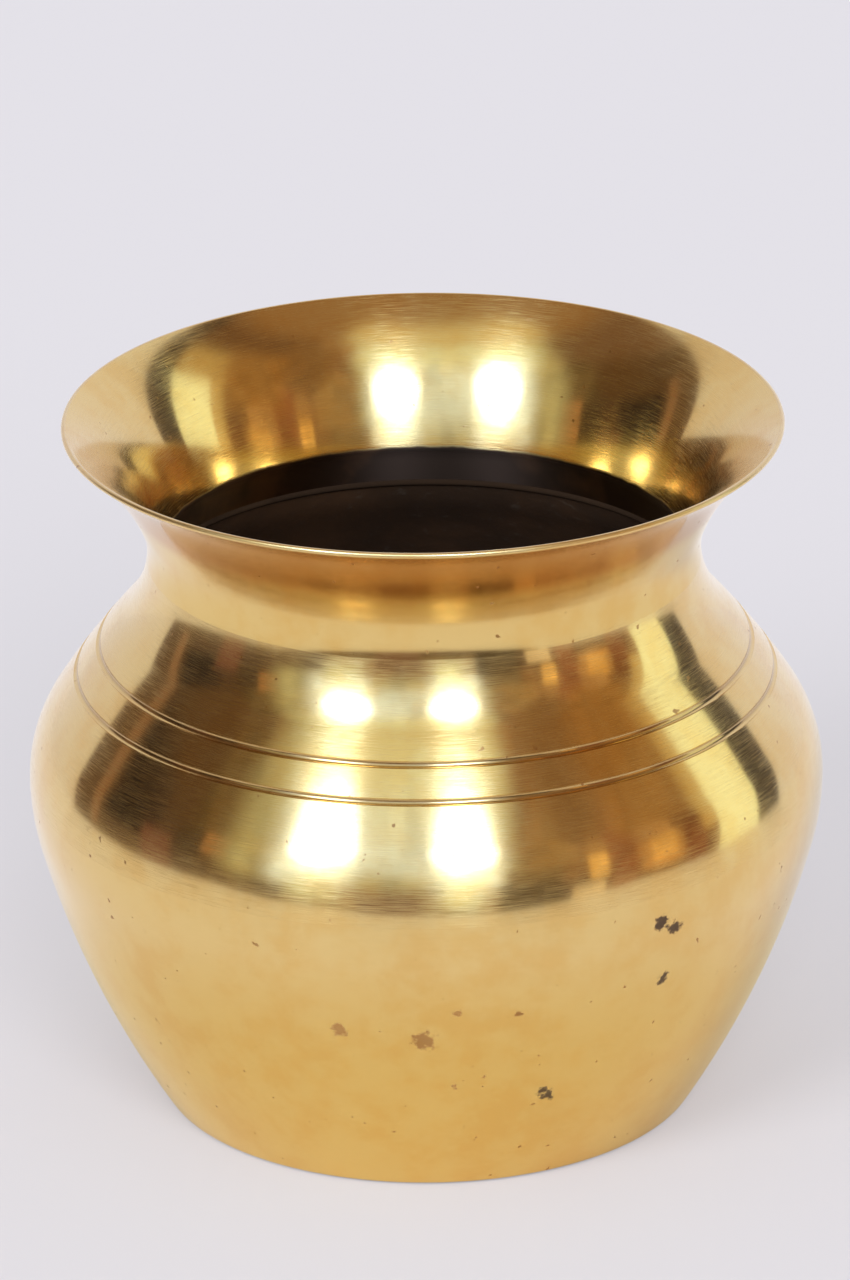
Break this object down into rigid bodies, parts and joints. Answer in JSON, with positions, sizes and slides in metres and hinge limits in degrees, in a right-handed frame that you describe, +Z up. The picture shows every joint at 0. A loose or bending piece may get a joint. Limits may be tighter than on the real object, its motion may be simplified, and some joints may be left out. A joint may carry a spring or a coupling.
{
  "type": "brass kalash pot",
  "caption": "Round brass water pot with a wide belly, a drawn-in neck, a flared mouth and turned grooves on the shoulder.",
  "frame": {"origin": "centre of the resting face, on the pot's axis", "axes": "+Z up along the pot's axis; the pot is round, so X and Y are any two level directions"},
  "size_m": [0.122, 0.122, 0.1088],
  "materials": {
    "polished_brass": "turned and hand-polished yellow brass outside and in the mouth, dark brown oxide left inside the belly",
    "spelter": "dull brazing spelter, as cast"
  },
  "bodies": {
    "root": {"lower_bowl": "polished_brass", "belly_braze": "spelter", "shoulder_shell": "polished_brass", "neck_braze": "spelter", "flared_collar": "polished_brass"}
  },
  "joints": []
}
